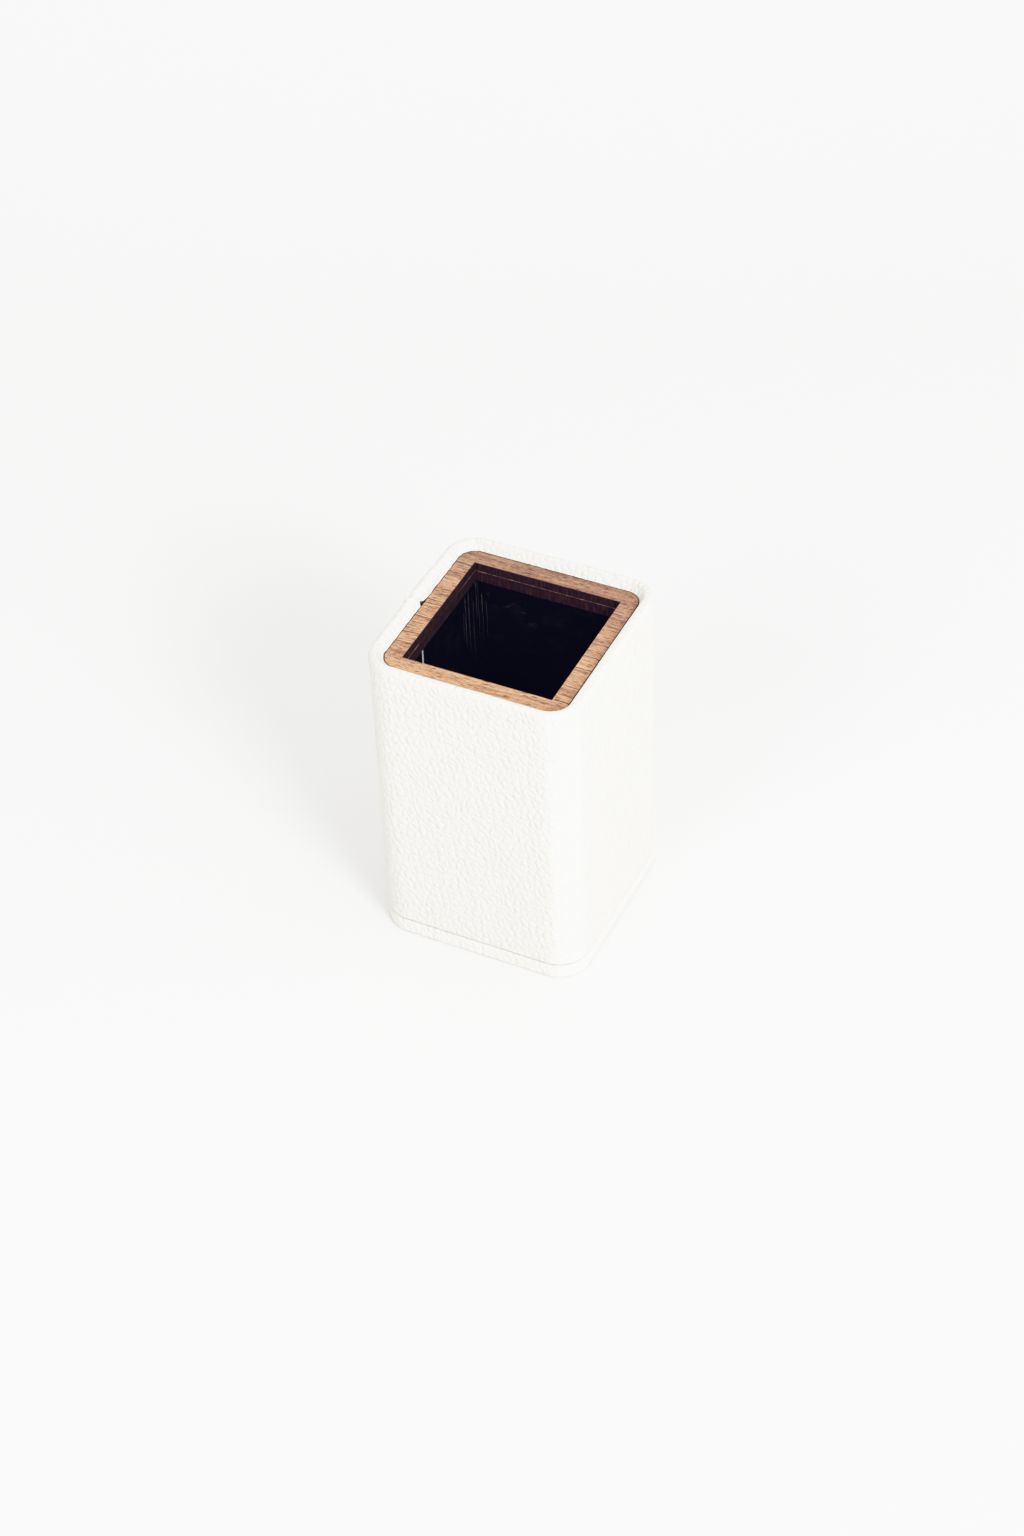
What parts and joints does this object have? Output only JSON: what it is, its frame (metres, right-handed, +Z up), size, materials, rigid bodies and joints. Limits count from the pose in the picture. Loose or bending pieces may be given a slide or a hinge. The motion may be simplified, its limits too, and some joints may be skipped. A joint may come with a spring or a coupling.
{
  "type": "leather dice cup",
  "caption": "Square leather-wrapped dice cup with rounded corners, walnut rim frames set inside the rolled edge, glossy black liner and a separate leather base.",
  "frame": {"origin": "centre of the resting face, on the surface that the cup stands on", "axes": "+Z up through the opening; -Y is the front and -X the left side, which has the seam of the sleeve; the cup is 67 mm along X and along Y and 105.6 mm along Z"},
  "size_m": [0.067, 0.067, 0.1056],
  "materials": {
    "leather": "warm white pebble-grain leather, satin",
    "walnut": "open-pore walnut, oiled, laser-cut dark edges",
    "liner": "high-gloss black acrylic sheet",
    "board": "dense grey board, hidden",
    "felt": "short dark felt"
  },
  "bodies": {
    "root": {"leather_sleeve": "leather", "core_tube": "board", "upper_walnut_frame": "walnut", "lower_walnut_frame": "walnut", "liner_front": "liner", "liner_back": "liner", "liner_left": "liner", "liner_right": "liner", "liner_floor": "liner", "spacer_front": "board", "spacer_back": "board", "spacer_left": "board", "spacer_right": "board", "locating_plate": "board", "base_board": "board", "base_leather": "leather", "base_pad": "felt"}
  },
  "joints": []
}
